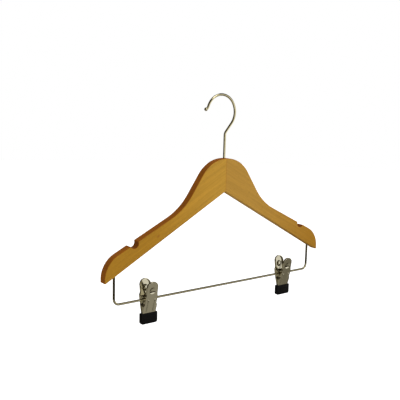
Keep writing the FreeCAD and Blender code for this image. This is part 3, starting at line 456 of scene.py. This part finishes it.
def dipped_vinyl():
    """Dip-moulded vinyl: near black, faintly pebbled, with a dull sheen."""
    material, tree, shader, place = new_material("dipped_vinyl")
    # The skin's pebble, drawn at twice its real size so that it shows.
    pebble_size = 0.7 * mm
    pebble_relief = 0.03 * mm
    pebble = add_node(tree, "ShaderNodeTexNoise", inputs={
        "Vector": place, "Scale": 1 / pebble_size, "Detail": 2.0,
    }).outputs["Fac"]
    rub_size = 7 * mm
    rubs = add_node(tree, "ShaderNodeTexNoise", inputs={
        "Vector": place, "Scale": 1 / rub_size, "Detail": 4.0, "Roughness": 0.65,
    }).outputs["Fac"]
    skin = add_node(tree, "ShaderNodeMix", {"data_type": "RGBA"}, {
        0: rubs, 6: linear("#060606"), 7: linear("#0C0B0B"),
    }).outputs[2]
    tree.links.new(skin, shader.inputs["Base Color"])
    gloss = add_node(tree, "ShaderNodeMapRange", inputs={
        "Value": rubs, "From Min": 0.3, "From Max": 0.7, "To Min": 0.45, "To Max": 0.62,
    }).outputs["Result"]
    tree.links.new(gloss, shader.inputs["Roughness"])
    relief = add_node(tree, "ShaderNodeBump", inputs={
        "Strength": 0.3, "Distance": pebble_relief, "Height": pebble,
    }).outputs["Normal"]
    tree.links.new(relief, shader.inputs["Normal"])
    shader.inputs["IOR"].default_value = 1.53
    shader.inputs["Specular IOR Level"].default_value = 0.12
    return material


cap_mouth_corner = 0.9 * mm
cap_toe_corner = 3.0 * mm
cap_outer_edge = 1.0 * mm
cap_grip_edge = 0.35 * mm
jaw_slot = Vector((21.3 * mm, 1.0 * mm))
slot_floor = 1.35 * mm
mouth_inset = 0.3 * mm
mouth_edge = 0.2 * mm
near = 0.01 * mm


def jaw_cap(name, node, outwards):
    """A cap in the space of its node, with its pillowed face on the side that outwards names."""
    low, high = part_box(node)
    middle = (low + high) / 2
    size = high - low
    bpy.ops.object.select_all(action="DESELECT")
    bpy.ops.mesh.primitive_cube_add(size=1, location=middle)
    cap = bpy.context.object
    cap.name = name
    cap.scale = size
    bpy.ops.object.transform_apply(location=True, rotation=True, scale=True)
    outer_face = high.y if outwards > 0 else low.y
    grip_face = low.y if outwards > 0 else high.y
    # The corners of the outline, rounder at the toe than at the mouth, then the edges of both faces.
    bpy.ops.object.mode_set(mode="EDIT")
    select_edges(cap, lambda a, b: abs(a.y - b.y) > near and a.z < middle.z)
    bpy.ops.mesh.bevel(offset=cap_toe_corner, segments=6, affect="EDGES")
    select_edges(cap, lambda a, b: abs(a.y - b.y) > near and min(a.z, b.z) > high.z - near)
    bpy.ops.mesh.bevel(offset=cap_mouth_corner, segments=3, affect="EDGES")
    select_edges(cap, lambda a, b: max(abs(a.y - outer_face), abs(b.y - outer_face)) < near)
    bpy.ops.mesh.bevel(offset=cap_outer_edge, segments=4, affect="EDGES")
    select_edges(cap, lambda a, b: max(abs(a.y - grip_face), abs(b.y - grip_face)) < near)
    bpy.ops.mesh.bevel(offset=cap_grip_edge, segments=2, affect="EDGES")
    # The slot for the jaw is sunk from the top, and its mouth is rolled over.
    select_faces(cap, lambda centre, normal: normal.z > 0.99)
    bpy.ops.mesh.inset(thickness=mouth_inset)
    bpy.ops.object.mode_set(mode="OBJECT")
    mouth = [cap.data.vertices[i].co for face in cap.data.polygons if face.select for i in face.vertices]
    mouth_size = [max(p[axis] for p in mouth) - min(p[axis] for p in mouth) for axis in (0, 1)]
    mouth_middle = sum(mouth, Vector()) / len(mouth)
    bpy.ops.object.mode_set(mode="EDIT")
    bpy.ops.transform.resize(value=(jaw_slot.x / mouth_size[0], jaw_slot.y / mouth_size[1], 1),
                             center_override=mouth_middle)
    bpy.ops.transform.translate(value=(0, middle.y - mouth_middle.y, 0))
    sink = -(size.z - slot_floor)
    bpy.ops.mesh.extrude_region_move(TRANSFORM_OT_translate={"value": (0, 0, sink)})

    def on_the_mouth(a, b):
        level = min(a.z, b.z) > high.z - near
        inside = max(abs(a.y - middle.y), abs(b.y - middle.y)) < jaw_slot.y / 2 + near
        return level and inside and max(abs(a.x - middle.x), abs(b.x - middle.x)) < jaw_slot.x / 2 + near

    select_edges(cap, on_the_mouth)
    bpy.ops.mesh.bevel(offset=mouth_edge, segments=2, affect="EDGES")
    bpy.ops.object.mode_set(mode="OBJECT")
    bpy.ops.object.shade_smooth_by_angle(angle=math.radians(50))
    return cap


vinyl_finish = dipped_vinyl()
for side in sides:
    for place, outwards in (("front", -1), ("rear", 1)):
        cap = jaw_cap(f"{side}_clip_{place}_cap", f"{side}_clip_{place}_pad", outwards)
        give(cap, vinyl_finish)
        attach(cap, f"{side}_clip_{place}")
        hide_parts(f"{side}_clip_{place}_pad")


# Floor: a plain pale studio floor, well below the hanging hanger. Far out it is lifted towards white,
# and under the hanger it keeps the shadow.
floor_drop = 0.9
floor_radius = 8.0
shadow_radius = 0.6
white_radius = 2.4
bpy.ops.object.select_all(action="DESELECT")
bpy.ops.mesh.primitive_circle_add(vertices=96, radius=floor_radius, fill_type="NGON",
                                  location=(0, 0, -floor_drop))
floor = bpy.context.object
floor.name = "floor"
material, tree, shader, place = new_material("pale_floor")
shader.inputs["Base Color"].default_value = linear("#F2F2F2")
shader.inputs["Roughness"].default_value = 1.0
shader.inputs["Emission Color"].default_value = (1, 1, 1, 1)


def seen_by_camera_or_mirror(tree):
    """1 for rays that show a surface itself: seen straight, in a mirror or through glass."""
    paths = add_node(tree, "ShaderNodeLightPath").outputs
    seen = add_node(tree, "ShaderNodeMath", {"operation": "MAXIMUM"}, {
        0: paths["Is Camera Ray"], 1: paths["Is Glossy Ray"],
    }).outputs[0]
    return add_node(tree, "ShaderNodeMath", {"operation": "MAXIMUM"}, {
        0: seen, 1: paths["Is Transmission Ray"],
    }).outputs[0]


out = add_node(tree, "ShaderNodeVectorMath", {"operation": "LENGTH"}, {0: place}).outputs["Value"]
lift = add_node(tree, "ShaderNodeMapRange", {"interpolation_type": "SMOOTHSTEP"}, {
    "Value": out, "From Min": shadow_radius, "From Max": white_radius, "To Min": 0.25, "To Max": 0.85,
}).outputs["Result"]
lift = add_node(tree, "ShaderNodeMath", {"operation": "MULTIPLY"}, {
    0: lift, 1: seen_by_camera_or_mirror(tree),
}).outputs[0]
tree.links.new(lift, shader.inputs["Emission Strength"])
give(floor, material)


# Light: a white surround, a wide soft lamp at the front right and another behind. Mirrors see the white
# surround in place of the lamps.
world = bpy.data.worlds.new("studio")
bpy.context.scene.world = world
world.use_nodes = True
tree = world.node_tree
strength = add_node(tree, "ShaderNodeMapRange", inputs={
    "Value": seen_by_camera_or_mirror(tree), "To Min": 0.5, "To Max": 1.0,
}).outputs["Result"]
background = tree.nodes["Background"]
background.inputs["Color"].default_value = (1, 1, 1, 1)
tree.links.new(strength, background.inputs["Strength"])
object_middle = (cad_box[0] + cad_box[1]) / 2
lamp_distance = 1.8
lamp_size = 1.6


def soft_lamp(name, way, power):
    """A square area lamp that faces the hanger from one direction."""
    data = bpy.data.lights.new(name, "AREA")
    data.shape = "SQUARE"
    data.size = lamp_size
    data.energy = power
    lamp = bpy.data.objects.new(name, data)
    bpy.context.scene.collection.objects.link(lamp)
    way = Vector(way).normalized()
    lamp.location = object_middle + way * lamp_distance
    lamp.rotation_mode = "QUATERNION"
    lamp.rotation_quaternion = way.to_track_quat("Z", "Y")
    lamp.visible_glossy = False


soft_lamp("key_lamp", (0.55, -0.75, 0.42), 25)
soft_lamp("back_lamp", (0.5, 0.8, 0.5), 12)


# Cards and soft box: they stand round the hanger where a photographer sets them, so that the bright
# metal has dark sides and small glints. A low skirt darkens the bar's legs, and a small card behind the
# hanger lights the clips' cheeks. Only mirrors see them.
def only_in_mirrors(card, colour, strength=1.0):
    """Give a card its own even glow, and hide it from all but mirrors."""
    material = bpy.data.materials.new(card.name)
    material.use_nodes = True
    tree = material.node_tree
    tree.nodes.remove(tree.nodes["Principled BSDF"])
    glow = add_node(tree, "ShaderNodeEmission", inputs={"Color": linear(colour), "Strength": strength})
    tree.links.new(glow.outputs[0], tree.nodes["Material Output"].inputs["Surface"])
    give(card, material)
    card.visible_camera = False
    card.visible_diffuse = False
    card.visible_shadow = False


def plain_card(name, colour, centre, turn, width, height, strength=1.0):
    """A plain upright or level card."""
    bpy.ops.object.select_all(action="DESELECT")
    bpy.ops.mesh.primitive_plane_add(size=1, location=centre, rotation=turn)
    card = bpy.context.object
    card.name = name
    card.scale = (width, height, 1)
    only_in_mirrors(card, colour, strength)


upright = (math.radians(90), 0, 0)
sideways = (0, math.radians(90), 0)
half_left = (math.radians(90), 0, math.radians(38))
level = (0, 0, 0)
plain_card("left_card", "#4A4539", (-1.3, 0, 0.2), sideways, 2.2, 3.6)
plain_card("back_card", "#4F4A40", (-0.6, 1.8, 0.2), upright, 1.6, 2.2)
plain_card("top_card", "#4C483A", (0.2, 0, 0.8), level, 6.0, 6.0)
plain_card("low_left_card", "#A5A299", (-0.39, 0, -0.6), level, 1.42, 1.9)
plain_card("low_right_card", "#827F75", (0.66, 0, -0.6), level, 0.68, 1.9)
plain_card("dark_strip", "#3A3528", (0.1, 0, -0.59), level, 1.6, 0.3)
plain_card("cheek_card", "#928D7C", (-0.52, 0.66, -0.52), half_left, 0.4, 0.18)
plain_card("soft_box", "#FFFFFF", (0.13, -0.62, 0.75), level, 0.46, 0.75, 4.0)
skirt_radius = 0.9
skirt_top = -0.4
skirt_foot = -0.61
bpy.ops.object.select_all(action="DESELECT")
bpy.ops.mesh.primitive_cylinder_add(vertices=96, radius=skirt_radius, depth=skirt_top - skirt_foot,
                                    end_fill_type="NOTHING", location=(0, 0, (skirt_top + skirt_foot) / 2))
skirt = bpy.context.object
skirt.name = "dark_skirt"
only_in_mirrors(skirt, "#2B2418")


# Camera: at the photograph's angle, from the left of the front and a little above.
camera_turn = math.radians(36.806)
camera_lift = math.radians(9.0854)
camera_roll = math.radians(1.44)
camera_distance = 0.88148
aim = Vector((-0.03295, 0, -0.14206))
back = Vector((
    -math.sin(camera_turn) * math.cos(camera_lift),
    -math.cos(camera_turn) * math.cos(camera_lift),
    math.sin(camera_lift),
))
rightwards = Vector((math.cos(camera_turn), -math.sin(camera_turn), 0))
upwards = back.cross(rightwards)
right_rolled = rightwards * math.cos(camera_roll) + upwards * math.sin(camera_roll)
up_rolled = upwards * math.cos(camera_roll) - rightwards * math.sin(camera_roll)
camera_data = bpy.data.cameras.new("camera")
camera_data.lens = 57.744
camera_data.sensor_width = 36.0
camera = bpy.data.objects.new("camera", camera_data)
bpy.context.scene.collection.objects.link(camera)
camera_axes = Matrix((right_rolled, up_rolled, back)).transposed().to_4x4()
camera.matrix_world = Matrix.Translation(aim + back * camera_distance) @ camera_axes
bpy.context.scene.camera = camera
